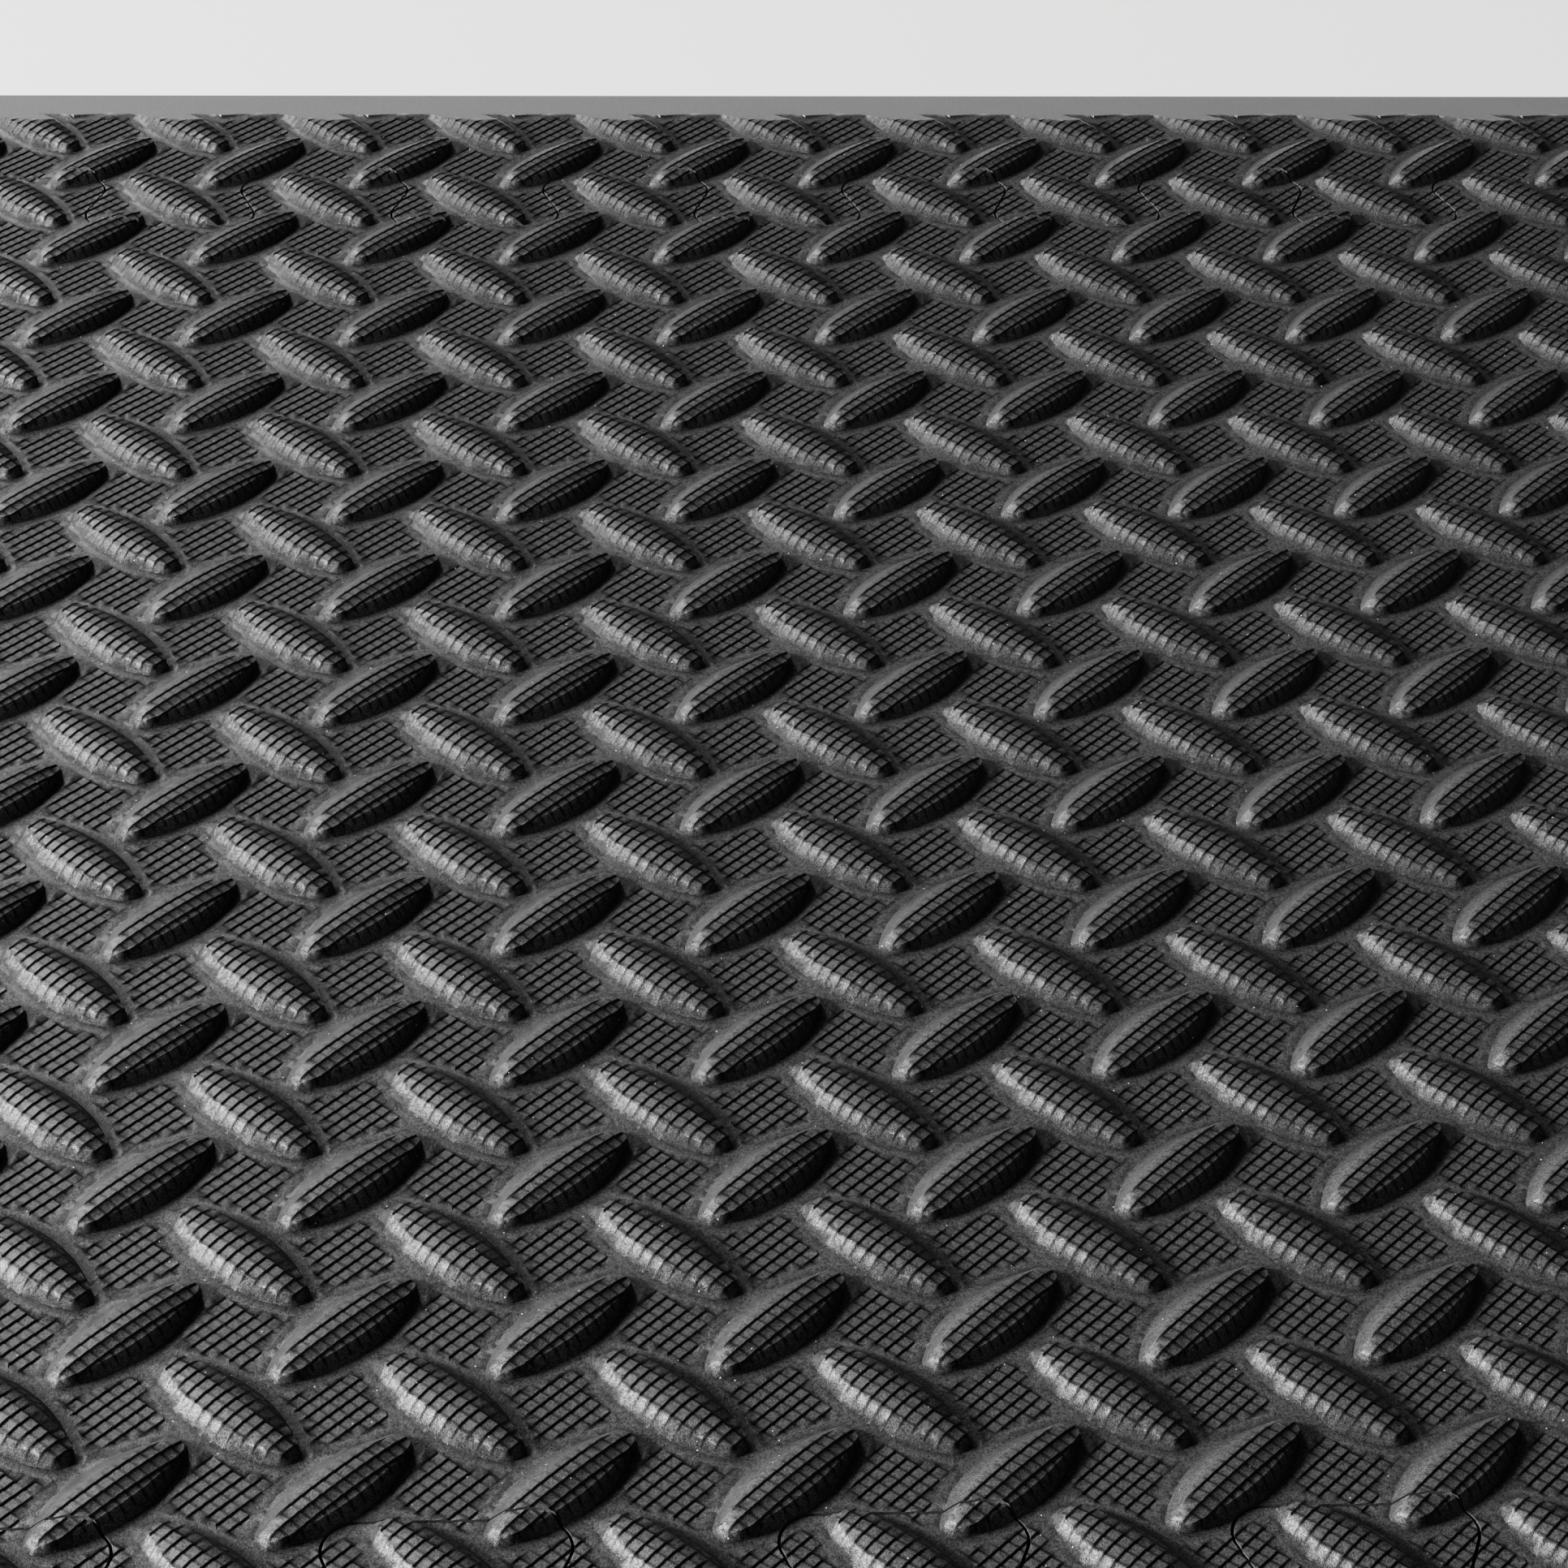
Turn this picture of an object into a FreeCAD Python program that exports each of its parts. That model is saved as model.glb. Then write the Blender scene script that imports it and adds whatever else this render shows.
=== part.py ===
import FreeCAD, Part
import math
import os

# Interlocking foam door mat: two square tiles, six bevelled edge strips and four corner pieces.
# Millimetres, +Z up, +X along the mat. The origin is the middle of the underside.

# Driving dimensions
TILE = 300.0             # side of a square tile, from seam line to seam line
BORDER = 50.0            # width of the edge strips and corner pieces
SHEET_HEIGHT = 10.0      # flat skin above the floor
LUG_HEIGHT = 2.0         # top of a lug above the flat skin
BEVEL_WIDTH = 20.0       # sloping rim of the border pieces, seen from above
LIP_HEIGHT = 3.0         # height of the rim's outer face
CORNER_RADIUS = 14.0     # mat corners, seen from above

LUG_PITCH = 25.0         # from one lug to the next that lies the same way
LUG_LENGTH = 22.4        # foot of a lug, end to end
LUG_POINT_LENGTH = 25.0  # where the two flank arcs would meet, end to end
LUG_WIDTH = 9.0          # foot of a lug, side to side
LUG_LEAN = 1.5           # how far each flank leans in over the lug's height
LUG_ROOT = 0.5           # a lug's root inside the sheet

TOOTH_PITCH = 50.0       # puzzle teeth: from one tooth to the next on the same side
TOOTH_REACH = 8.0        # tooth tip or socket floor, from the seam line
TOOTH_FLARE = 3.0        # how far a tooth's head is wider than its middle, on each side
TOOTH_RADIUS = 4.0       # rounding of the teeth
SEAM_GAP = 0.4           # between neighbouring pieces, all round
RIM_OVERRUN = 10.0       # blanks run this far past the rim, which trims them

HALF = TILE / 2
MAT_X = TILE + BORDER    # half the mat's length
MAT_Y = HALF + BORDER    # half the mat's width
TOTAL_HEIGHT = SHEET_HEIGHT + LUG_HEIGHT

# What one side of a piece has
TEETH = "teeth"          # teeth that reach out into the neighbour
SOCKETS = "sockets"      # sockets that take the neighbour's teeth
RIM = "rim"              # the mat's outer rim

# Each piece: its rectangle between seam lines, then its front, right, back and left sides
PIECES = {
    "tile_left": ((-TILE, 0, -HALF, HALF), (TEETH, TEETH, TEETH, TEETH)),
    "tile_right": ((0, TILE, -HALF, HALF), (TEETH, TEETH, TEETH, SOCKETS)),
    "edge_front_left": ((-TILE, 0, -MAT_Y, -HALF), (RIM, TEETH, SOCKETS, TEETH)),
    "edge_front_right": ((0, TILE, -MAT_Y, -HALF), (RIM, TEETH, SOCKETS, SOCKETS)),
    "edge_back_left": ((-TILE, 0, HALF, MAT_Y), (SOCKETS, TEETH, RIM, TEETH)),
    "edge_back_right": ((0, TILE, HALF, MAT_Y), (SOCKETS, TEETH, RIM, SOCKETS)),
    "edge_left": ((-MAT_X, -TILE, -HALF, HALF), (TEETH, SOCKETS, TEETH, RIM)),
    "edge_right": ((TILE, MAT_X, -HALF, HALF), (TEETH, RIM, TEETH, SOCKETS)),
    "corner_front_left": ((-MAT_X, -TILE, -MAT_Y, -HALF), (RIM, SOCKETS, SOCKETS, RIM)),
    "corner_front_right": ((TILE, MAT_X, -MAT_Y, -HALF), (RIM, RIM, SOCKETS, SOCKETS)),
    "corner_back_left": ((-MAT_X, -TILE, HALF, MAT_Y), (SOCKETS, SOCKETS, RIM, RIM)),
    "corner_back_right": ((TILE, MAT_X, HALF, MAT_Y), (SOCKETS, RIM, RIM, SOCKETS)),
}


def placed(points, start, end):
    """Points (along, outward, radius) of a side, as (x, y, radius). Outward is right of start to end."""
    length = math.dist(start, end)
    along_x = (end[0] - start[0]) / length
    along_y = (end[1] - start[1]) / length
    return [
        (start[0] + s * along_x + t * along_y, start[1] + s * along_y - t * along_x, radius)
        for s, t, radius in points
    ]


def toothed_side(start, end):
    """A side with dovetail teeth, starting and ending straight on the seam line."""
    length = math.dist(start, end)
    count = round(length / TOOTH_PITCH)
    points = [(0, 0, 0)]
    for index in range(count):
        rise = (index + 0.25) * TOOTH_PITCH
        fall = (index + 0.75) * TOOTH_PITCH
        if index == 0:
            points.append((rise, 0, 0))
        else:
            points.append((rise + TOOTH_FLARE, -TOOTH_REACH, TOOTH_RADIUS))
        points.append((rise - TOOTH_FLARE, TOOTH_REACH, TOOTH_RADIUS))
        points.append((fall + TOOTH_FLARE, TOOTH_REACH, TOOTH_RADIUS))
        if index == count - 1:
            points.append((fall, 0, 0))
        else:
            points.append((fall - TOOTH_FLARE, -TOOTH_REACH, TOOTH_RADIUS))
    points.append((length, 0, 0))
    return placed(points, start, end)


def side_points(kind, start, end):
    if kind == TEETH:
        return toothed_side(start, end)
    if kind == SOCKETS:
        return list(reversed(toothed_side(end, start)))
    length = math.dist(start, end)
    return placed([(0, 0, 0), (0, RIM_OVERRUN, 0), (length, RIM_OVERRUN, 0), (length, 0, 0)], start, end)


def outline(rectangle, kinds):
    """Anticlockwise outline of a piece as (x, y, radius) points, with no point twice in a row."""
    x_low, x_high, y_low, y_high = rectangle
    corners = [(x_low, y_low), (x_high, y_low), (x_high, y_high), (x_low, y_high)]
    points = []
    for index, kind in enumerate(kinds):
        for point in side_points(kind, corners[index], corners[(index + 1) % 4]):
            if not points or math.dist(point[:2], points[-1][:2]) > 1e-6:
                points.append(point)
    points.pop()
    return points


def face_inside(points):
    """Face inside a closed outline of (x, y, radius) points, each radius an arc tangent to both sides."""
    edges = []
    first = None
    last = None
    for index, (x, y, radius) in enumerate(points):
        here = FreeCAD.Vector(x, y, 0)
        enter = here
        leave = here
        if radius > 0:
            back = (FreeCAD.Vector(*points[index - 1][:2], 0) - here).normalize()
            onward = (FreeCAD.Vector(*points[(index + 1) % len(points)][:2], 0) - here).normalize()
            half_angle = back.getAngle(onward) / 2
            enter = here + back * (radius / math.tan(half_angle))
            leave = here + onward * (radius / math.tan(half_angle))
        if first is None:
            first = enter
        else:
            edges.append(Part.LineSegment(last, enter).toShape())
        if radius > 0:
            inward = (back + onward).normalize()
            crown = here + inward * (radius / math.sin(half_angle) - radius)
            edges.append(Part.Arc(enter, crown, leave).toShape())
        last = leave
    edges.append(Part.LineSegment(last, first).toShape())
    return Part.Face(Part.Wire(edges))


def bevelled_bar(half_span, half_run):
    """Bar along Y whose X section is the mat's bevelled section, with the slope carried on over the lugs."""
    slope_inset = BEVEL_WIDTH * (TOTAL_HEIGHT - LIP_HEIGHT) / (SHEET_HEIGHT - LIP_HEIGHT)
    section = [
        (-half_span, 0),
        (half_span, 0),
        (half_span, LIP_HEIGHT),
        (half_span - slope_inset, TOTAL_HEIGHT),
        (-half_span + slope_inset, TOTAL_HEIGHT),
        (-half_span, LIP_HEIGHT),
        (-half_span, 0),
    ]
    wire = Part.makePolygon([FreeCAD.Vector(x, -half_run, z) for x, z in section])
    return Part.Face(wire).extrude(FreeCAD.Vector(0, 2 * half_run, 0))


def mat_envelope():
    """Everything that may be foam: bevelled on all four sides, with round corners seen from above."""
    across = bevelled_bar(MAT_Y, MAT_X)
    across.rotate(FreeCAD.Vector(), FreeCAD.Vector(0, 0, 1), 90)
    corners = [(-MAT_X, -MAT_Y), (MAT_X, -MAT_Y), (MAT_X, MAT_Y), (-MAT_X, MAT_Y)]
    plan = face_inside([(x, y, CORNER_RADIUS) for x, y in corners])
    block = plan.extrude(FreeCAD.Vector(0, 0, TOTAL_HEIGHT))
    return block.common(bevelled_bar(MAT_X, MAT_Y)).common(across)


def leaning_cone(foot_radius, centre_y):
    """Cone that has a radius at the sheet's skin, leans in up to the lug's top, and has a root below."""
    root_extra = LUG_LEAN * LUG_ROOT / LUG_HEIGHT
    foot = FreeCAD.Vector(0, centre_y, SHEET_HEIGHT - LUG_ROOT)
    return Part.makeCone(foot_radius + root_extra, foot_radius - LUG_LEAN, LUG_ROOT + LUG_HEIGHT, foot)


def lug_solid():
    """One lug along X at the origin: two arched flanks and two blunt ends, all leaning in."""
    half_width = LUG_WIDTH / 2
    flank_radius = ((LUG_POINT_LENGTH / 2) ** 2 + half_width**2) / LUG_WIDTH
    offset = flank_radius - half_width
    leaf = leaning_cone(flank_radius, offset).common(leaning_cone(flank_radius, -offset))
    return leaf.common(leaning_cone(LUG_LENGTH / 2, 0))


def lugs_over(box):
    """Lugs that may reach into a bounding box: two square lattices of crossed lugs, half a pitch apart."""
    lugs = []
    reach = LUG_LENGTH / 2
    for shift, turn in ((0.0, -45), (LUG_PITCH / 2, 45)):
        turned = lug_solid()
        turned.rotate(FreeCAD.Vector(), FreeCAD.Vector(0, 0, 1), turn)
        columns = range(
            math.ceil((box.XMin - reach - shift) / LUG_PITCH),
            math.floor((box.XMax + reach - shift) / LUG_PITCH) + 1,
        )
        rows = range(
            math.ceil((box.YMin - reach - shift) / LUG_PITCH),
            math.floor((box.YMax + reach - shift) / LUG_PITCH) + 1,
        )
        for column in columns:
            for row in rows:
                place = FreeCAD.Vector(shift + column * LUG_PITCH, shift + row * LUG_PITCH, 0)
                lugs.append(turned.translated(place))
    return lugs


def foam_piece(rectangle, kinds, envelope):
    """One die-cut piece: the sheet and its lugs inside the outline, half a gap in from each seam line."""
    blank = face_inside(outline(rectangle, kinds)).makeOffset2D(-SEAM_GAP / 2)
    block = blank.extrude(FreeCAD.Vector(0, 0, TOTAL_HEIGHT)).common(envelope)
    below_skin = Part.makeBox(
        2 * MAT_X, 2 * MAT_Y, SHEET_HEIGHT, FreeCAD.Vector(-MAT_X, -MAT_Y, 0)
    )
    lugs = Part.makeCompound(lugs_over(block.BoundBox)).common(block)
    return block.common(below_skin).fuse(lugs.Solids)


def main():
    os.makedirs("parts", exist_ok=True)
    envelope = mat_envelope()
    for name, (rectangle, kinds) in PIECES.items():
        piece = foam_piece(rectangle, kinds, envelope)
        solids = piece.Solids
        if len(solids) != 1 or not piece.isValid():
            raise ValueError(f"{name} is not one valid solid")
        solids[0].exportStep(f"parts/{name}.step")
        box = solids[0].BoundBox
        print(f"{name}: {len(solids[0].Faces)} faces, {box.XLength:.1f} x {box.YLength:.1f} x {box.ZLength:.1f} mm")


main()
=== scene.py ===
import math

import bpy
import numpy as np
from mathutils import Matrix, Vector
from mathutils.geometry import delaunay_2d_cdt


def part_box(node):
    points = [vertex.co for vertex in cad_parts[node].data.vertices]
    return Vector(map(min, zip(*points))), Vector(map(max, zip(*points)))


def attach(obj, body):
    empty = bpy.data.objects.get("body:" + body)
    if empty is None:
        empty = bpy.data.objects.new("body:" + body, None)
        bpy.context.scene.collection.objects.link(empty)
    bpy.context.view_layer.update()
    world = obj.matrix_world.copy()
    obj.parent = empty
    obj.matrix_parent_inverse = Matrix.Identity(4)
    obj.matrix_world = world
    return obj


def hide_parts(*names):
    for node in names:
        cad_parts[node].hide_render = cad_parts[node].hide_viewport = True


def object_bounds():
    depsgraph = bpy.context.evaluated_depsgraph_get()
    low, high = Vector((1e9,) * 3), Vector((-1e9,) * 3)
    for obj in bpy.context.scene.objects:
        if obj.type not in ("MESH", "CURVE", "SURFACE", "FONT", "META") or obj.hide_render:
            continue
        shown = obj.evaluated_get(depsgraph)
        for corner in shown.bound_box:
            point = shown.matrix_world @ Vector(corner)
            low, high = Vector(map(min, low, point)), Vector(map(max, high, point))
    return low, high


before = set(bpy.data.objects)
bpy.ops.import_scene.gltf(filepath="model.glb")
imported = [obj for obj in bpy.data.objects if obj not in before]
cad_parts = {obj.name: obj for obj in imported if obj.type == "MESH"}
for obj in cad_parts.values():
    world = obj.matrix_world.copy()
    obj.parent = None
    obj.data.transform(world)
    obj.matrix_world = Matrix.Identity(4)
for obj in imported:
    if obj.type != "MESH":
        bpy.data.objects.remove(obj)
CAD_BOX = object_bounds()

# A door mat of interlocking foam tiles. Each CAD piece is replaced by one closed mesh that keeps its outline
# and height, and adds the pressed skin: crowned lugs, the smooth hollow round each lug, and a crosshatch of
# small square cells. Lengths are millimetres up to the last step, which makes metres for Blender.

MM = 0.001

# The mat, from the frame
TOP = CAD_BOX[1][2] / MM             # top of the lugs
HALF_X = CAD_BOX[1][0] / MM
HALF_Y = CAD_BOX[1][1] / MM
TILE_LOW, TILE_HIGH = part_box("tile_left")

# The bevelled rim
LUG_HEIGHT = 2.0                     # crown of a lug above the flat skin
SKIN = TOP - LUG_HEIGHT              # flat skin above the floor
BEVEL_WIDTH = 20.0
LIP_HEIGHT = 3.0
HATCH_FADE = 1.5                     # the crosshatch fades out over this much before the slope

# The lugs: a leaf-shaped foot and a narrower leaf-shaped top, joined by a sloping flank
LUG_PITCH = 25.0
FOOT_HALF_WIDTH = 4.5
FOOT_HALF_POINT = 12.6               # where the two flank arcs would meet
FOOT_HALF_LENGTH = 11.2              # where the blunt end cuts them off
TOP_HALF_WIDTH = 2.85
TOP_HALF_POINT = 13.4
TOP_HALF_LENGTH = 10.2
TOP_SHIFT = 0.45                     # the tops sit this far to the right of the feet
SHOULDER_HEIGHT = 1.6                # edge of a lug's top, at its middle
SHOULDER_DROP = 0.4                  # lower than that at the lug's ends
ROUNDED_BAND = 0.9                   # smooth rounded edge along the back of a lug's top
ROUNDED_DROP = 0.35
CREST_BAND = 0.35                    # where the crosshatch turns into ribs, outside the edge of the top
LEAF_BLEND = 0.7                     # rounding between a flank and a blunt end
BACK_REACH = 1.2                     # the back edge starts this far behind a lug's middle
BACK_SHARE = 0.35                    # how rounded it is on lugs that fall to the right; the others have 1
BAND_CLEAR = 2.4                     # how fast the crosshatch fades in, inside the rounded band
RIB_RISE = 2.2                       # how fast the ribs grow up a flank
HOLLOW_DEPTH = 0.16                  # smooth hollow round each lug
HOLLOW_WIDTH = 1.2
HOLLOW_RISE = 0.45

# The crosshatch: steps along the lines that rise to the right, cut by grooves along those that fall
CELLS = 11                           # cells from one lug to its crossed neighbour
CELL = LUG_PITCH / (CELLS * math.sqrt(2))
PHASE_U = 0.47                       # lines beside a lug's middle, in cells
PHASE_V = -0.34
STEP_DEPTH = 0.2                     # from the crest of a step to its low side
STEP_LOW = 0.82                      # where a step is lowest, in cells behind its crest
GROOVE_DEPTH = 0.09
GROOVE = 0.17                        # width of a groove's steep side, in cells

# The mesh
REPEAT_U, REPEAT_V = -1, -6          # corner of the repeat, in cells
NEAR_LUG = 0.6                       # the crosshatch's lines run on this far over a lug's edges
FINE = 4096                          # grid that vertices snap to, per cell
SNAP = 0.005                         # a line this near to a vertex goes through it, in cells
MERGE = (0.001, 0.0006, 0.0016)      # the same where a piece is cut out, in millimetres, tried in turn
AREA_GAP = 0.05                      # a piece's skin fills its outline to this, in square millimetres
BORDER_STEP = 3.0                    # longest side of a piece's border
FLOOR_STEP = 12.5                    # between the vertices of the underside
CLEAR = 2.0                          # kept from a piece's border
WIDE = 1 << 31                       # makes one number out of two

# The map for baking, in shares of its side
SKIN_SHARE = 0.78
UNDER_SHARE = 0.2
MAP_EDGE = 0.005
WALL_ROWS = 8
ROW_LENGTH = 0.97
ROW_FILL = 0.8

# The foam's own texture
GRAIN = 0.16                         # size of a grain
GRAIN_DEPTH = 0.035
LINE_SHADE = 0.82                        # how far painted shade darkens the grooves and the steep sides of the steps in the crosshatch
FOOT_SHADE = 0.6                           # the same painted shade, where a lug's flank meets the sheet
LINE_U, LINE_V = 0.2, 0.14           # half width of the lines of painted shade, in cells


def smooth(value):
    value = np.clip(value, 0.0, 1.0)
    return value * value * (3.0 - 2.0 * value)


# ---------------------------------------------------------------- the pressed skin as a height function

def inside_leaf(across, along, half_width, half_point, half_length):
    """Distance inside a leaf outline with blunt ends, negative outside."""
    radius = (half_point**2 + half_width**2) / (2 * half_width)
    flank = radius - np.hypot(along, np.abs(across) + radius - half_width)
    end = half_length - np.hypot(along, across)
    mix = np.clip(0.5 + 0.5 * (end - flank) / LEAF_BLEND, 0.0, 1.0)
    return end * (1 - mix) + flank * mix - LEAF_BLEND * mix * (1 - mix)


def lug_frame(x, y, kind):
    """Coordinates across and along the nearest lug of one kind: 0 falls to the right, 1 rises."""
    shift = kind * LUG_PITCH / 2
    local_x = x - shift - LUG_PITCH * np.round((x - shift) / LUG_PITCH)
    local_y = y - shift - LUG_PITCH * np.round((y - shift) / LUG_PITCH)
    rise = (local_x + local_y) / math.sqrt(2)
    fall = (local_x - local_y) / math.sqrt(2)
    return (rise, fall) if kind == 0 else (fall, rise)


def lug_measures(x, y):
    """For each point: distance inside the nearest lug's foot and top, along it, behind it, and its kind."""
    best = None
    shift = TOP_SHIFT / math.sqrt(2)
    for kind in (0, 1):
        across, along = lug_frame(x, y, kind)
        foot = inside_leaf(across, along, FOOT_HALF_WIDTH, FOOT_HALF_POINT, FOOT_HALF_LENGTH)
        top = inside_leaf(across - shift, along - shift, TOP_HALF_WIDTH, TOP_HALF_POINT, TOP_HALF_LENGTH)
        behind = (across - shift) * (1 - 2 * kind)
        found = (foot, top, along, behind, np.full_like(foot, kind))
        if best is None:
            best = found
            continue
        nearer = foot > best[0]
        best = tuple(np.where(nearer, value, old) for value, old in zip(found, best))
    return best


def cell_coordinates(x, y):
    """Position in the crosshatch, whose lines run along the two kinds of lug."""
    u = (x + y) / math.sqrt(2) / CELL - PHASE_U
    v = (y - x) / math.sqrt(2) / CELL - PHASE_V
    return u, v


def bevel_inset(x, y):
    """Distance in from the mat's rim."""
    return np.minimum(HALF_X - np.abs(x), HALF_Y - np.abs(y))


def skin_height(x, y):
    """Height above the floor, then how strongly painted shade darkens both kinds of line and the recess at
    each lug's foot, 0 to 1.
    """
    foot, top, along, behind, kind = lug_measures(x, y)
    slope = np.clip(foot / np.maximum(foot - np.minimum(top, 0.0), 1e-6), 0.0, 1.0)
    shoulder = SHOULDER_HEIGHT - SHOULDER_DROP * (along / TOP_HALF_LENGTH) ** 2
    inward = np.clip(top / TOP_HALF_WIDTH, 0.0, 1.0)
    crown = (LUG_HEIGHT - SHOULDER_HEIGHT) * (1 - (1 - inward) ** 2)
    # The back edge of each top is rounded and smooth, most of all on the lugs that rise to the right.
    back = smooth(behind / BACK_REACH) * (BACK_SHARE + (1 - BACK_SHARE) * kind)
    near_edge = np.clip(1 - top / ROUNDED_BAND, 0.0, 1.0)
    rounded = ROUNDED_DROP * back * near_edge**2
    hollow = -HOLLOW_DEPTH * (1 - smooth((-foot - HOLLOW_WIDTH) / HOLLOW_RISE))
    on_lug = foot > 0
    edge = shoulder - ROUNDED_DROP * back
    flank = -HOLLOW_DEPTH + (edge + HOLLOW_DEPTH) * slope
    height = np.where(on_lug, np.where(top > 0, shoulder + crown - rounded, flank), hollow)

    u, v = cell_coordinates(x, y)
    behind_crest = v - np.floor(v)
    step = np.minimum(behind_crest / STEP_LOW, (1 - behind_crest) / (1 - STEP_LOW))
    beside_crest = u - np.floor(u)
    groove = np.minimum(beside_crest / GROOVE, (1 - beside_crest) / (1 - GROOVE))
    # On a flank only the lines across the lug go on, as ribs.
    flanked = np.where(on_lug, np.clip(-top / CREST_BAND, 0.0, 1.0), 0.0)
    groove = np.where(kind == 0, groove * (1 - flanked) + 0.5 * flanked, groove)
    step = np.where(kind == 1, step * (1 - flanked) + 0.5 * flanked, step)
    pressed = np.where(on_lug, smooth(slope * RIB_RISE), smooth((-foot - HOLLOW_WIDTH) / HOLLOW_RISE))
    pressed = pressed * np.where(on_lug, 1 - back * smooth(BAND_CLEAR * near_edge), 1.0)
    pressed = pressed * smooth((bevel_inset(x, y) - BEVEL_WIDTH) / HATCH_FADE)
    across_u = np.where(kind == 0, pressed * (1 - flanked), pressed)
    across_v = np.where(kind == 1, pressed * (1 - flanked), pressed)
    # Painted shade at each lug's foot: strongest where the flank meets the sheet, fading up the flank and
    # out across the hollow.
    recess_shade = np.where(on_lug, 1 - slope, 1 - smooth(-foot / HOLLOW_WIDTH))
    return SKIN + height - pressed * (STEP_DEPTH * step + GROOVE_DEPTH * groove), across_u, across_v, recess_shade


def bevel_height(x, y):
    """Height of the rim's slope, which carries on up over the lugs."""
    slope = (SKIN - LIP_HEIGHT) / BEVEL_WIDTH
    return LIP_HEIGHT + slope * np.maximum(bevel_inset(x, y), 0.0)


def top_height(x, y):
    skin, *looks = skin_height(x, y)
    bevel = bevel_height(x, y)
    return np.minimum(skin, bevel), [np.where(bevel < skin, 0.0, look) for look in looks]


# ---------------------------------------------------------------- one repeat of the skin as triangles

def leaf_outline(half_width, half_point, half_length, count):
    """Closed outline of a leaf with blunt ends as (across, along) points, found where its distance is 0."""
    points = []
    for step in range(count):
        angle = 2 * math.pi * step / count
        # Points are spread evenly along the leaf, not round it.
        direction = np.array([math.cos(angle) * half_width, math.sin(angle) * half_length])
        low, high = 0.0, 1.5
        for _ in range(40):
            middle = (low + high) / 2
            across, along = direction * middle
            if inside_leaf(across, along, half_width, half_point, half_length) > 0:
                low = middle
            else:
                high = middle
        points.append(direction * low)
    return points


def repeat_triangles():
    """Triangles of one repeat of the skin, as whole numbers of FINE steps in cell coordinates.

    It is 2 * CELLS cells wide and CELLS cells high, and moves on by (2 * CELLS, 0) and (CELLS, CELLS).
    """
    ids = {}
    points = []
    edges = set()

    def vertex(u, v):
        key = (round(u * FINE), round(v * FINE))
        if key not in ids:
            ids[key] = len(points)
            points.append(Vector((key[0] / FINE, key[1] / FINE)))
        return ids[key]

    def edge(*path):
        for first, second in zip(path, path[1:]):
            a, b = vertex(*first), vertex(*second)
            if a != b:
                edges.add((min(a, b), max(a, b)))

    low_u, low_v = REPEAT_U, REPEAT_V
    high_u, high_v = low_u + 2 * CELLS, low_v + CELLS
    for a in range(low_u - 1, high_u + 1):
        for b in range(low_v - 1, high_v + 1):
            centre_u, centre_v = a + 0.5, b + 0.5
            x = (centre_u + PHASE_U - centre_v - PHASE_V) * CELL / math.sqrt(2)
            y = (centre_u + PHASE_U + centre_v + PHASE_V) * CELL / math.sqrt(2)
            foot, top, _, _, kind = [float(value) for value in lug_measures(np.float64(x), np.float64(y))]
            columns = (a, a + GROOVE, a + 1)
            rows = (b, b + STEP_LOW, b + 1)
            hatched = top > -NEAR_LUG or foot < -HOLLOW_WIDTH
            if hatched or (foot > -NEAR_LUG and kind == 0):
                for row in rows:
                    edge(*[(column, row) for column in columns])
            if hatched or (foot > -NEAR_LUG and kind == 1):
                for column in columns:
                    edge(*[(column, row) for row in rows])
    # The repeat's own border follows the cells.
    for a in range(low_u, high_u):
        for b in (low_v, high_v):
            edge((a, b), (a + GROOVE, b), (a + 1, b))
    for b in range(low_v, high_v):
        for a in (low_u, high_u):
            edge((a, b), (a, b + STEP_LOW), (a, b + 1))

    shift = TOP_SHIFT / math.sqrt(2)
    leaves = (
        (FOOT_HALF_WIDTH, FOOT_HALF_POINT, FOOT_HALF_LENGTH, 36, 0.0),
        (TOP_HALF_WIDTH, TOP_HALF_POINT, TOP_HALF_LENGTH, 40, shift),
        (TOP_HALF_WIDTH + CREST_BAND, TOP_HALF_POINT + CREST_BAND, TOP_HALF_LENGTH + CREST_BAND, 36, shift),
        (FOOT_HALF_WIDTH + HOLLOW_WIDTH, FOOT_HALF_POINT + 2.0, FOOT_HALF_LENGTH + HOLLOW_WIDTH, 28, 0.0),
    )
    for leaf in leaves:
        outline = leaf_outline(*leaf[:4])
        for centre_u in range(-2 * CELLS, 4 * CELLS, CELLS):
            for centre_v in range(-2 * CELLS, 2 * CELLS, CELLS):
                kind = (centre_u + centre_v) // CELLS % 2
                path = []
                for across, along in outline:
                    # A kind 0 lug lies along v, towards low v. A kind 1 lug lies along u.
                    across, along = across + leaf[4], along + leaf[4]
                    s, t = (across, -along) if kind == 0 else (along, -across)
                    path.append((
                        centre_u + s / CELL - PHASE_U,
                        centre_v + t / CELL - PHASE_V,
                    ))
                edge(*path, path[0])

    found, _, faces, _, _, _ = delaunay_2d_cdt(points, sorted(edges), [], 0, SNAP, True)
    found = np.array([tuple(point) for point in found])
    faces = np.array(faces)
    centre = found[faces].mean(axis=1)
    kept = (
        (centre[:, 0] > low_u) & (centre[:, 0] < high_u) & (centre[:, 1] > low_v) & (centre[:, 1] < high_v)
    )
    return np.round(found * FINE).astype(np.int64), faces[kept]


# ---------------------------------------------------------------- pieces cut from the skin

def outline_area(outline):
    onward = np.roll(outline, -1, axis=0)
    return np.sum(outline[:, 0] * onward[:, 1] - onward[:, 0] * outline[:, 1]) / 2


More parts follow.
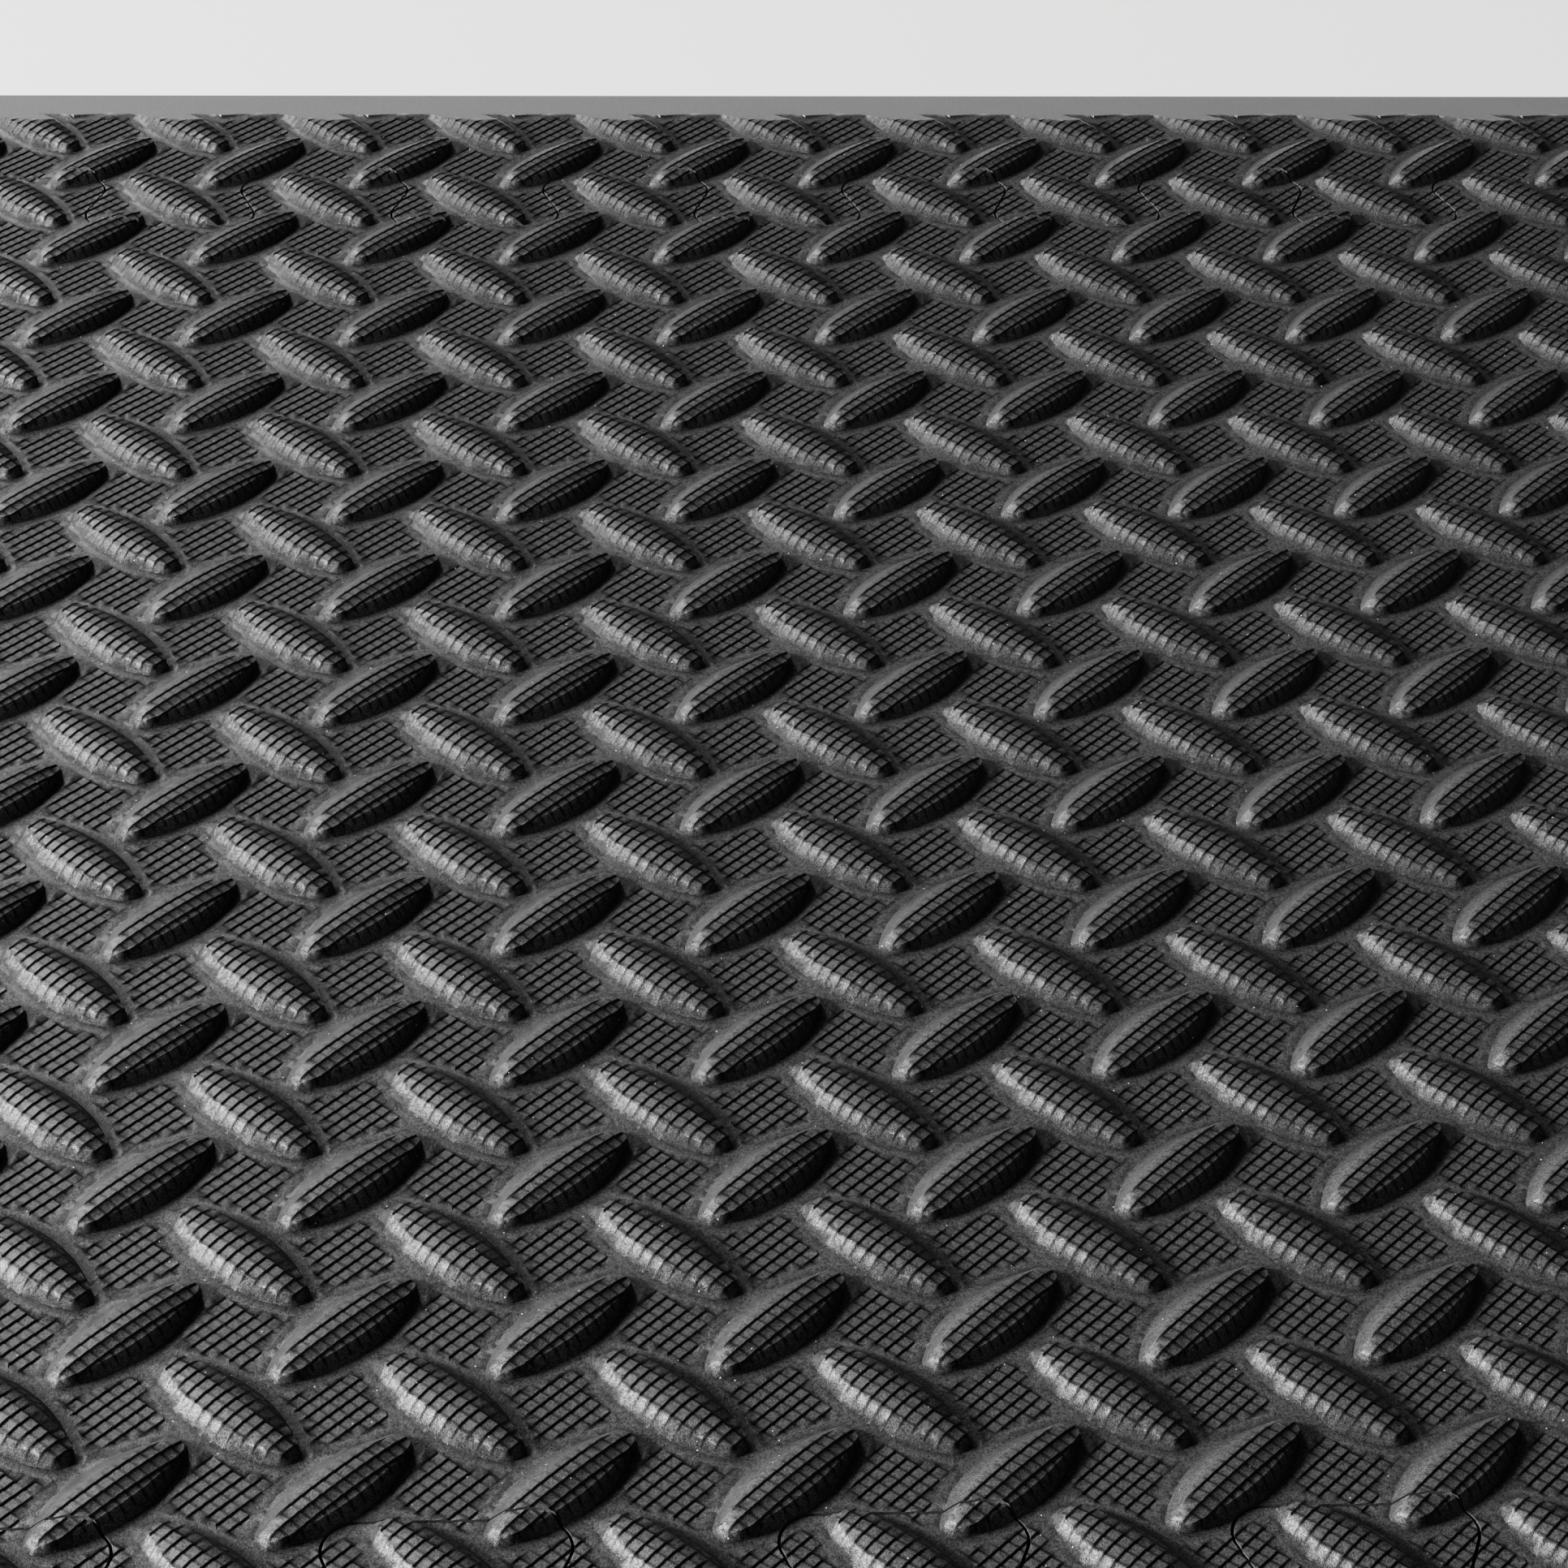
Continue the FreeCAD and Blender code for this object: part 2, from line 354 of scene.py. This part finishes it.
def outline_of(node):
    """Anticlockwise outline of a CAD piece's underside, in millimetres."""
    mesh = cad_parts[node].data
    count = len(mesh.vertices)
    co = np.empty(count * 3)
    mesh.vertices.foreach_get("co", co)
    co = co.reshape(-1, 3) / MM
    keys = np.round(co * 1000).astype(np.int64)
    _, first, same = np.unique(keys, axis=0, return_index=True, return_inverse=True)
    same = same.reshape(-1)
    sides = {}
    for polygon in mesh.polygons:
        ring = [int(same[index]) for index in polygon.vertices]
        if max(co[first[index]][2] for index in ring) > 0.01:
            continue
        for a, b in zip(ring, ring[1:] + ring[:1]):
            sides[(a, b)] = True
    following = {b: a for a, b in sides if (b, a) not in sides}
    start = min(following)
    loop = [start]
    while following[loop[-1]] != start:
        loop.append(following[loop[-1]])
    points = co[first[loop], :2]
    return points if outline_area(points) > 0 else points[::-1]


def subdivided(points, longest):
    """The same closed outline with no side longer than a length."""
    result = []
    for here, there in zip(points, np.roll(points, -1, axis=0)):
        parts = max(1, math.ceil(np.hypot(*(there - here)) / longest))
        for part in range(parts):
            result.append(here + (there - here) * part / parts)
    return np.array(result)


def inside_outline(points, outline):
    """Which points lie inside a closed outline."""
    order = np.argsort(points[:, 1])
    px, py = points[order, 0], points[order, 1]
    inside = np.zeros(len(points), dtype=bool)
    following = np.roll(outline, -1, axis=0)
    begin = np.searchsorted(py, np.minimum(outline[:, 1], following[:, 1]))
    end = np.searchsorted(py, np.maximum(outline[:, 1], following[:, 1]))
    for (x0, y0), (x1, y1), first, last in zip(outline, following, begin, end):
        if last > first:
            inside[first:last] ^= px[first:last] < x0 + (py[first:last] - y0) * (x1 - x0) / (y1 - y0)
    result = np.empty_like(inside)
    result[order] = inside
    return result


def near_outline(low, high, outline, step=0.5):
    """Which boxes come near a closed outline, read from a grid that the outline is drawn on."""
    origin = outline.min(axis=0) - 3 * step
    shape = np.ceil((outline.max(axis=0) - origin) / step).astype(int) + 5
    grid = np.zeros(shape, dtype=np.int64)
    drawn = np.floor((subdivided(outline, step / 2) - origin) / step).astype(int)
    for i in (-1, 0, 1):
        for j in (-1, 0, 1):
            grid[drawn[:, 0] + i, drawn[:, 1] + j] = 1
    total = np.zeros(shape + 1, dtype=np.int64)
    total[1:, 1:] = grid.cumsum(axis=0).cumsum(axis=1)
    first = np.clip(np.floor((low - origin) / step).astype(int), 0, shape)
    last = np.clip(np.floor((high - origin) / step).astype(int) + 1, 0, shape)
    inside = (
        total[last[:, 0], last[:, 1]] - total[first[:, 0], last[:, 1]]
        - total[last[:, 0], first[:, 1]] + total[first[:, 0], first[:, 1]]
    )
    return inside > 0


def bevel_lines(low, high):
    """The slope's upper edge and its mitres, as far as they lie in a box."""
    inner_x, inner_y = HALF_X - BEVEL_WIDTH, HALF_Y - BEVEL_WIDTH
    lines = []
    for side in (-1, 1):
        if low[0] < side * inner_x < high[0]:
            ends = (max(low[1], -inner_y), min(high[1], inner_y))
            lines.append([(side * inner_x, end) for end in ends])
        if low[1] < side * inner_y < high[1]:
            ends = (max(low[0], -inner_x), min(high[0], inner_x))
            lines.append([(end, side * inner_y) for end in ends])
        for other in (-1, 1):
            if low[0] < side * inner_x < high[0] and low[1] < other * inner_y < high[1]:
                lines.append([(side * inner_x, other * inner_y), (side * HALF_X, other * HALF_Y)])
    return [np.array(line) for line in lines]


def to_mm(fine):
    u = fine[:, 0] / FINE + PHASE_U
    v = fine[:, 1] / FINE + PHASE_V
    return np.stack([(u - v), (u + v)], axis=1) * (CELL / math.sqrt(2))


def directed_sides(triangles):
    return np.concatenate([triangles[:, [0, 1]], triangles[:, [1, 2]], triangles[:, [2, 0]]])


def side_keys(sides):
    """One number for each directed side, and one for the same side the other way."""
    return sides[:, 0] * WIDE + sides[:, 1], sides[:, 1] * WIDE + sides[:, 0]


def open_sides(triangles):
    """Sides of a patch of anticlockwise triangles that only one triangle has."""
    sides = directed_sides(triangles)
    forward, backward = side_keys(sides)
    return sides[~np.isin(forward, backward)]


def flooded(triangles, rim, wall):
    """Which triangles lie between rim and wall: left of the rim's directed sides, right of the wall's."""
    forward, backward = side_keys(directed_sides(triangles))
    owner = np.tile(np.arange(len(triangles)), 3)
    order = np.argsort(forward)
    place = np.minimum(np.searchsorted(forward[order], backward), len(order) - 1)
    twin = order[place]
    inner, outer = side_keys(rim)[0], side_keys(wall)[1]
    closed = np.concatenate(side_keys(rim) + side_keys(wall))
    joined = (forward[twin] == backward) & ~np.isin(forward, closed)
    here, there = owner[joined], owner[twin[joined]]
    reached = np.zeros(len(triangles), dtype=bool)
    reached[owner[np.isin(forward, np.concatenate([inner, outer]))]] = True
    count = 0
    while reached.sum() > count:
        count = reached.sum()
        reached[there[reached[here]]] = True
    return reached


def turns(points, triangles):
    """Twice the area of each triangle, negative for a clockwise one."""
    a, b, c = (points[triangles[:, k]] for k in range(3))
    return (b[:, 0] - a[:, 0]) * (c[:, 1] - a[:, 1]) - (b[:, 1] - a[:, 1]) * (c[:, 0] - a[:, 0])


def sound_skin(outline, template):
    """Vertices (mm), triangles and border of the skin inside an outline, checked to fill it once."""
    for merge in MERGE:
        points, triangles = skin_over(outline, template, merge)
        loop = border_loop(triangles)
        gap = abs(turns(points, triangles).sum() / 2 - outline_area(outline))
        if loop is not None and gap < AREA_GAP:
            return points, triangles, loop
    raise ValueError("the skin has a hole or a pinched edge")


def skin_over(outline, template, merge):
    """Vertices (mm) and triangles of the skin inside an outline. Vertices nearer than merge become one."""
    fine, faces = template
    low, high = outline.min(axis=0), outline.max(axis=0)
    corner = to_mm(fine)
    reach_low, reach_high = corner.min(axis=0), corner.max(axis=0)
    pieces = []
    span = int(max(HALF_X, HALF_Y) / LUG_PITCH) + 3
    for i in range(-span, span):
        for j in range(-2 * span, 2 * span):
            # (2 * CELLS, 0) is one lug pitch in x and y, and (CELLS, CELLS) is one in y.
            move = np.array([i, i + j]) * LUG_PITCH
            if np.all(reach_low + move < high) and np.all(reach_high + move > low):
                pieces.append((i * 2 * CELLS + j * CELLS, j * CELLS))
    moves = np.array(pieces, dtype=np.int64) * FINE
    all_fine = (fine[None, :, :] + moves[:, None, :]).reshape(-1, 2)
    all_faces = (faces[None, :, :] + (np.arange(len(moves)) * len(fine))[:, None, None]).reshape(-1, 3)
    unique, index = np.unique(all_fine[:, 0] * WIDE + all_fine[:, 1] + WIDE // 2, return_inverse=True)
    all_faces = index.reshape(-1)[all_faces]
    points = to_mm(np.stack([unique // WIDE, unique % WIDE - WIDE // 2], axis=1))

    corners = points[all_faces]
    box_low, box_high = corners.min(axis=1), corners.max(axis=1)
    near = near_outline(box_low, box_high, outline)
    lines = bevel_lines(low - CLEAR, high + CLEAR)
    for line in lines:
        near |= near_outline(box_low, box_high, line)
    whole = np.flatnonzero(~near)
    whole = whole[inside_outline(corners[whole].mean(axis=1), outline)]
    cut = all_faces[near]

    used, cut_index = np.unique(cut, return_inverse=True)
    cut_index = cut_index.reshape(-1, 3)
    border = subdivided(outline, BORDER_STEP)
    flat = [Vector(point) for point in np.concatenate([points[used], border])]
    ring = [(len(used) + k, len(used) + (k + 1) % len(border)) for k in range(len(border))]
    for line in lines:
        ring.append((len(flat), len(flat) + 1))
        flat += [Vector(end) for end in line]
    made = delaunay_2d_cdt(flat, ring, cut_index.tolist(), 0, merge, True)
    found, sides, pieces, origin, side_origin, _ = made
    found = np.array([tuple(point) for point in found])
    pieces = np.array(pieces)
    # Vertices that the cut leaves where they were keep their number.
    number = np.empty(len(found), dtype=np.int64)
    extra = []
    for k, sources in enumerate(origin):
        old = [source for source in sources if source < len(used)]
        if old:
            number[k] = used[old[0]]
        else:
            number[k] = len(points) + len(extra)
            extra.append(found[k])
    vertices = np.concatenate([points, np.array(extra).reshape(-1, 2)])
    # The sides that lie on the outline, in its own direction, so the inside is on their left.
    rim = []
    for (a, b), sources in zip(sides, side_origin):
        on_rim = [source for source in sources if source < len(border)]
        if on_rim:
            k = on_rim[0]
            onward = border[(k + 1) % len(border)] - border[k]
            rim.append((a, b) if np.dot(found[b] - found[a], onward) > 0 else (b, a))
    rim = number[np.array(rim)]
    kept = flooded(number[pieces], rim, open_sides(all_faces[whole]))
    triangles = np.concatenate([all_faces[whole], number[pieces[kept]]])
    left, packed = np.unique(triangles, return_inverse=True)
    return vertices[left], packed.reshape(-1, 3)


def border_loop(triangles):
    """The vertices round the edge of a patch of anticlockwise triangles, or None if it isn't one loop."""
    free = open_sides(triangles)
    following = dict(free.tolist())
    start = int(free[0, 0])
    loop = [start]
    while following[loop[-1]] != start and len(loop) < len(free):
        loop.append(following[loop[-1]])
    closed = following[loop[-1]] == start and len(loop) == len(free)
    return np.array(loop) if closed else None


def anticlockwise(points, triangles):
    flipped = triangles.copy()
    clockwise = turns(points, triangles) < 0
    flipped[clockwise] = flipped[clockwise][:, ::-1]
    return flipped


def unwrap(mesh, vertices, faces, skin_count, wall_count):
    """A flat map for baking: the skin large, the underside small beside it, the walls in rows above."""
    low = vertices.min(axis=0)
    long_side = (vertices.max(axis=0) - low)[:2].max()
    corners = (vertices[faces] - low) / long_side
    uv = np.empty((len(faces), 3, 2))
    uv[:skin_count] = MAP_EDGE + SKIN_SHARE * corners[:skin_count, :, :2]
    under = slice(skin_count + wall_count, None)
    uv[under] = MAP_EDGE + UNDER_SHARE * corners[under, :, :2]
    uv[under, :, 0] += SKIN_SHARE + MAP_EDGE

    half = wall_count // 2
    first = vertices[faces[skin_count:skin_count + half, 0]]
    length = np.hypot(*(vertices[faces[skin_count + half:skin_count + wall_count, 2]] - first)[:, :2].T)
    start = np.cumsum(length) - length
    row_length = (start[-1] + length[-1]) / WALL_ROWS * 1.01
    row = np.floor(start / row_length)
    left = MAP_EDGE + ROW_LENGTH * (start - row * row_length) / row_length
    right = left + ROW_LENGTH * length / row_length
    row_height = (1 - SKIN_SHARE - 3 * MAP_EDGE) / WALL_ROWS
    base = SKIN_SHARE + 2 * MAP_EDGE + row * row_height
    # The first half of the walls' triangles are (top a, low a, low b), the rest (top a, low b, top b).
    top = base + ROW_FILL * row_height
    uv[skin_count:skin_count + half] = np.stack(
        [np.stack([left, top], 1), np.stack([left, base], 1), np.stack([right, base], 1)], axis=1)
    uv[skin_count + half:skin_count + wall_count] = np.stack(
        [np.stack([left, top], 1), np.stack([right, base], 1), np.stack([right, top], 1)], axis=1)
    layer = mesh.uv_layers.new(name="OFBake")
    layer.data.foreach_set("uv", uv.astype(np.float32).ravel())


def foam_mesh(name, outline, template):
    """One closed foam piece: pressed skin, cut walls and flat underside."""
    flat, triangles, loop = sound_skin(outline, template)
    height, looks = top_height(flat[:, 0], flat[:, 1])
    count, rim = len(flat), len(loop)

    base = [Vector(point) for point in flat[loop]]
    span = np.arange(-HALF_X, HALF_X + 1, FLOOR_STEP)
    inner = np.array([(x, y) for x in span for y in span])
    inner = inner[inside_outline(inner, outline)]
    inner = inner[~near_outline(inner - CLEAR, inner + CLEAR, outline)]
    base += [Vector(point) for point in inner]
    ring = [(k, (k + 1) % rim) for k in range(rim)]
    found, _, floor, origin, _, _ = delaunay_2d_cdt(base, ring, [], 1, 1e-7, True)
    floor = np.array(floor)
    order = np.array([min(sources) for sources in origin])
    floor_flat = np.array([tuple(point) for point in found])
    floor = order[anticlockwise(floor_flat, floor)]

    low = np.concatenate([flat[loop], inner])
    vertices = np.concatenate([
        np.column_stack([flat, height]),
        np.column_stack([low, np.zeros(len(low))]),
    ])
    top_a, top_b = loop, np.roll(loop, -1)
    low_a = count + np.arange(rim)
    low_b = np.roll(low_a, -1)
    wall = np.concatenate([np.column_stack([top_a, low_a, low_b]), np.column_stack([top_a, low_b, top_b])])
    faces = np.concatenate([triangles, wall, floor[:, ::-1] + count])

    mesh = bpy.data.meshes.new(name)
    mesh.vertices.add(len(vertices))
    mesh.vertices.foreach_set("co", (vertices * MM).astype(np.float32).ravel())
    mesh.loops.add(len(faces) * 3)
    mesh.loops.foreach_set("vertex_index", faces.astype(np.int32).ravel())
    mesh.polygons.add(len(faces))
    mesh.polygons.foreach_set("loop_start", np.arange(0, len(faces) * 3, 3, dtype=np.int32))
    mesh.polygons.foreach_set("loop_total", np.full(len(faces), 3, dtype=np.int32))
    mesh.update()
    mesh.validate()

    unwrap(mesh, vertices, faces, len(triangles), len(wall))
    cut = np.zeros(len(faces), dtype=np.int32)
    cut[len(triangles):] = 1
    slope = bevel_height(flat[:, 0], flat[:, 1]) < height + 0.001
    cut[:len(triangles)] = slope[triangles].all(axis=1)
    mesh.polygons.foreach_set("material_index", cut)
    # The first two say where the crosshatch's lines get painted shade, the third where the lugs' feet get
    # it.
    for label, value in zip(("hatch_u", "hatch_v", "recess_shade"), looks):
        attribute = mesh.attributes.new(label, "FLOAT", "POINT")
        attribute.data.foreach_set("value", np.concatenate([value, np.zeros(len(low))]).astype(np.float32))
    return mesh


# ---------------------------------------------------------------- materials

class Nodes:
    """Short calls for making a material's nodes and links."""

    def __init__(self, name):
        self.material = bpy.data.materials.new(name)
        self.material.use_nodes = True
        self.tree = self.material.node_tree
        self.shader = self.tree.nodes["Principled BSDF"]
        coordinates = self.tree.nodes.new("ShaderNodeTexCoord")
        self.position = coordinates.outputs["Object"]

    def put(self, socket, value):
        if isinstance(value, bpy.types.NodeSocket):
            self.tree.links.new(value, socket)
        else:
            socket.default_value = value

    def noise(self, size, detail=2.0, roughness=0.5, offset=(0.0, 0.0, 0.0)):
        """Noise from 0 to 1 whose blobs are about a size in millimetres."""
        place = self.tree.nodes.new("ShaderNodeMapping")
        place.inputs["Location"].default_value = offset
        self.put(place.inputs["Vector"], self.position)
        node = self.tree.nodes.new("ShaderNodeTexNoise")
        self.put(node.inputs["Vector"], place.outputs["Vector"])
        node.inputs["Scale"].default_value = 1 / (size * MM)
        node.inputs["Detail"].default_value = detail
        node.inputs["Roughness"].default_value = roughness
        return node.outputs["Fac"]

    def specks(self, size):
        """Distance to the nearest of scattered points that are about a size apart, in that size."""
        node = self.tree.nodes.new("ShaderNodeTexVoronoi")
        self.put(node.inputs["Vector"], self.position)
        node.inputs["Scale"].default_value = 1 / (size * MM)
        return node.outputs["Distance"]

    def attribute(self, name):
        node = self.tree.nodes.new("ShaderNodeAttribute")
        node.attribute_name = name
        return node.outputs["Fac"]

    def hatch_lines(self):
        """How strongly painted shade darkens the crosshatch's grooves and the steep sides of its steps, from
        0 to 1.
        """
        axes = self.tree.nodes.new("ShaderNodeSeparateXYZ")
        self.put(axes.inputs[0], self.position)
        x, y = axes.outputs["X"], axes.outputs["Y"]
        scale = 1 / (math.sqrt(2) * CELL * MM)      # makes cells of the sum or difference of x and y
        lines = []
        for label, sign, phase, middle, width in (
            ("hatch_u", 1, PHASE_U, GROOVE, LINE_U),
            ("hatch_v", -1, PHASE_V, (1 + STEP_LOW) / 2, LINE_V),
        ):
            place = self.math("MULTIPLY", self.math("ADD", y, self.math("MULTIPLY", x, sign)), scale)
            turn = self.math("FRACT", self.math("ADD", place, 0.5 - phase - middle), 0.0)
            away = self.math("ABSOLUTE", self.math("SUBTRACT", turn, 0.5), 0.0)
            line = self.ramp(away, 0.3 * width, width, 1.0, 0.0)
            lines.append(self.math("MULTIPLY", line, self.attribute(label)))
        return self.math("MAXIMUM", *lines)

    def ramp(self, value, low, high, to_low=0.0, to_high=1.0):
        node = self.tree.nodes.new("ShaderNodeMapRange")
        for index, number in enumerate((value, low, high, to_low, to_high)):
            self.put(node.inputs[index], number)
        return node.outputs["Result"]

    def math(self, operation, first, second):
        node = self.tree.nodes.new("ShaderNodeMath")
        node.operation = operation
        self.put(node.inputs[0], first)
        self.put(node.inputs[1], second)
        return node.outputs["Value"]

    def mix(self, factor, first, second):
        node = self.tree.nodes.new("ShaderNodeMix")
        node.data_type = "RGBA"
        self.put(node.inputs["Factor"], factor)
        self.put(node.inputs[6], first)
        self.put(node.inputs[7], second)
        return node.outputs[2]

    def bump(self, height, depth, strength=1.0):
        node = self.tree.nodes.new("ShaderNodeBump")
        node.inputs["Strength"].default_value = strength
        node.inputs["Distance"].default_value = depth * MM
        self.put(node.inputs["Height"], height)
        return node.outputs["Normal"]


def foam_material():
    """The pressed skin: charcoal foam with fine grain, a sparkle, pale dust specks, and painted shade along
    the crosshatch's lines and at the lugs' feet.
    """
    nodes = Nodes("foam_skin")
    grain = nodes.noise(GRAIN, 2.0, 0.6)
    coarse = nodes.noise(3 * GRAIN, 2.0, 0.6, (0.3, 0.1, 0.7))
    cloud = nodes.noise(14.0, 3.0, 0.6)

    tone = nodes.math("ADD", nodes.math("MULTIPLY", grain, 0.65), nodes.math("MULTIPLY", coarse, 0.35))
    foam = nodes.mix(nodes.ramp(tone, 0.36, 0.64), (0.003, 0.003, 0.003, 1), (0.036, 0.036, 0.0364, 1))
    foam = nodes.mix(nodes.ramp(cloud, 0.35, 0.75, 0.0, 0.2), foam, (0.02, 0.02, 0.0202, 1))
    # Painted shade: the crosshatch's grooves, the steep sides of its steps and the foot of each lug are
    # darkened nearly to black.
    line_shade = nodes.math("MULTIPLY", nodes.hatch_lines(), LINE_SHADE)
    painted_shade = nodes.math("MULTIPLY", nodes.attribute("recess_shade"), FOOT_SHADE)
    painted_shade = nodes.math("MAXIMUM", line_shade, painted_shade)
    foam = nodes.mix(painted_shade, foam, (0.002, 0.002, 0.002, 1))
    dust = nodes.math("LESS_THAN", nodes.specks(2.6), 0.03)
    foam = nodes.mix(dust, foam, (0.5, 0.5, 0.48, 1))
    nodes.put(nodes.shader.inputs["Base Color"], foam)

    shine = nodes.ramp(nodes.noise(1.5 * GRAIN, 2.0, 0.6, (0.9, 0.4, 0.2)), 0.35, 0.65, 0.3, 0.5)
    nodes.put(nodes.shader.inputs["Roughness"], shine)
    sheen = nodes.mix(nodes.ramp(tone, 0.41, 0.59), (0.2, 0.2, 0.2, 1), (1, 1, 1, 1))
    # The same painted shade also takes the specular tint down.
    sheen = nodes.mix(painted_shade, sheen, (0.03, 0.03, 0.03, 1))
    nodes.put(nodes.shader.inputs["Specular Tint"], sheen)
    height = nodes.math("ADD", grain, coarse)
    nodes.put(nodes.shader.inputs["Normal"], nodes.bump(height, GRAIN_DEPTH))
    nodes.shader.inputs["Specular IOR Level"].default_value = 0.5
    return nodes.material


def cut_material():
    """Foam where it was cut or lay on the mould's flat side: even, matt, with fine pores."""
    nodes = Nodes("foam_cut")
    grain = nodes.noise(0.35, 3.0, 0.6)
    pores = nodes.ramp(nodes.specks(0.7), 0.05, 0.3)
    cloud = nodes.noise(22.0, 3.0, 0.6, (0.2, 0.5, 0.1))
    foam = nodes.mix(nodes.ramp(grain, 0.35, 0.65), (0.016, 0.016, 0.0162, 1), (0.034, 0.034, 0.0344, 1))
    foam = nodes.mix(nodes.ramp(cloud, 0.35, 0.75, 0.0, 0.3), foam, (0.04, 0.04, 0.0402, 1))
    foam = nodes.mix(nodes.ramp(pores, 0.0, 1.0, 0.7, 0.0), foam, (0.006, 0.006, 0.006, 1))
    nodes.put(nodes.shader.inputs["Base Color"], foam)
    nodes.put(nodes.shader.inputs["Roughness"], nodes.ramp(grain, 0.3, 0.7, 0.5, 0.75))
    height = nodes.math("ADD", nodes.math("MULTIPLY", grain, 0.5), pores)
    nodes.put(nodes.shader.inputs["Normal"], nodes.bump(height, 0.05))
    return nodes.material


# ---------------------------------------------------------------- building

SHARP_ANGLE = math.radians(38)


def build():
    template = repeat_triangles()
    skin, cut = foam_material(), cut_material()
    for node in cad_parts:
        outline = outline_of(node)
        mesh = foam_mesh(node + "_foam", outline, template)
        mesh.materials.append(skin)
        mesh.materials.append(cut)
        piece = bpy.data.objects.new(node + "_foam", mesh)
        bpy.context.scene.collection.objects.link(piece)
        mesh.shade_smooth()
        mesh.set_sharp_from_angle(angle=SHARP_ANGLE)
        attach(piece, node)
        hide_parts(node)


build()


# ---------------------------------------------------------------- camera, floor and light

CAMERA_AZIMUTH = math.radians(-4.0)
CAMERA_ELEVATION = math.radians(37.38)
CAMERA_ROLL = math.radians(1.96)
CAMERA_DISTANCE = 559.0
CAMERA_AIM = (-6.5, -9.7)            # from the middle of the left tile
SENSOR = 36.0
FOCAL = SENSOR * 5075 / 1932         # in the photograph's own pixels, of which 1932 lie side by side
FLOOR_HALF = 6.0                     # metres

# Each light's name, azimuth and elevation in degrees, distance and size in metres, and power in watts
LIGHTS = (
    ("window", -80, 23, 2.2, 0.5, 400),
    ("back", -147, 28, 2.2, 0.8, 50),
    ("fill", 55, 40, 2.4, 2.0, 8),
)
LIGHTS_AIM = (-0.15, 0, 0)
SKY = 0.06


def make_camera():
    data = bpy.data.cameras.new("camera")
    data.sensor_width = SENSOR
    data.lens = FOCAL
    data.clip_start = 0.01
    camera = bpy.data.objects.new("camera", data)
    bpy.context.scene.collection.objects.link(camera)
    bpy.context.scene.camera = camera
    tile_centre = (Vector(TILE_LOW) + Vector(TILE_HIGH)) / 2 / MM
    target = Vector((tile_centre.x + CAMERA_AIM[0], tile_centre.y + CAMERA_AIM[1], SKIN))
    back = Vector((
        math.sin(CAMERA_AZIMUTH) * math.cos(CAMERA_ELEVATION),
        -math.cos(CAMERA_AZIMUTH) * math.cos(CAMERA_ELEVATION),
        math.sin(CAMERA_ELEVATION),
    ))
    camera.location = (target + back * CAMERA_DISTANCE) * MM
    turn = (-back).to_track_quat("-Z", "Y").to_matrix() @ Matrix.Rotation(CAMERA_ROLL, 3, "Z")
    camera.rotation_euler = turn.to_euler()


def make_floor():
    size = FLOOR_HALF
    mesh = bpy.data.meshes.new("floor")
    mesh.from_pydata(
        [(-size, -size, 0), (size, -size, 0), (size, size, 0), (-size, size, 0)], [], [(0, 1, 2, 3)]
    )
    floor = bpy.data.objects.new("floor", mesh)
    bpy.context.scene.collection.objects.link(floor)
    material = bpy.data.materials.new("floor")
    material.use_nodes = True
    shader = material.node_tree.nodes["Principled BSDF"]
    shader.inputs["Base Color"].default_value = (0.75, 0.75, 0.74, 1)
    shader.inputs["Roughness"].default_value = 0.8
    mesh.materials.append(material)


def area_light(name, azimuth, elevation, distance, size, power):
    data = bpy.data.lights.new(name, "AREA")
    data.energy = power
    data.size = size
    light = bpy.data.objects.new(name, data)
    bpy.context.scene.collection.objects.link(light)
    a, e = math.radians(azimuth), math.radians(elevation)
    direction = Vector((math.sin(a) * math.cos(e), -math.cos(a) * math.cos(e), math.sin(e)))
    target = Vector(LIGHTS_AIM)
    light.location = target + direction * distance
    light.rotation_euler = direction.to_track_quat("Z", "Y").to_euler()


def make_lights():
    for light in LIGHTS:
        area_light(*light)
    world = bpy.data.worlds.new("studio")
    bpy.context.scene.world = world
    world.use_nodes = True
    world.node_tree.nodes["Background"].inputs["Color"].default_value = (1, 1, 1, 1)
    world.node_tree.nodes["Background"].inputs["Strength"].default_value = SKY


make_camera()
make_floor()
make_lights()
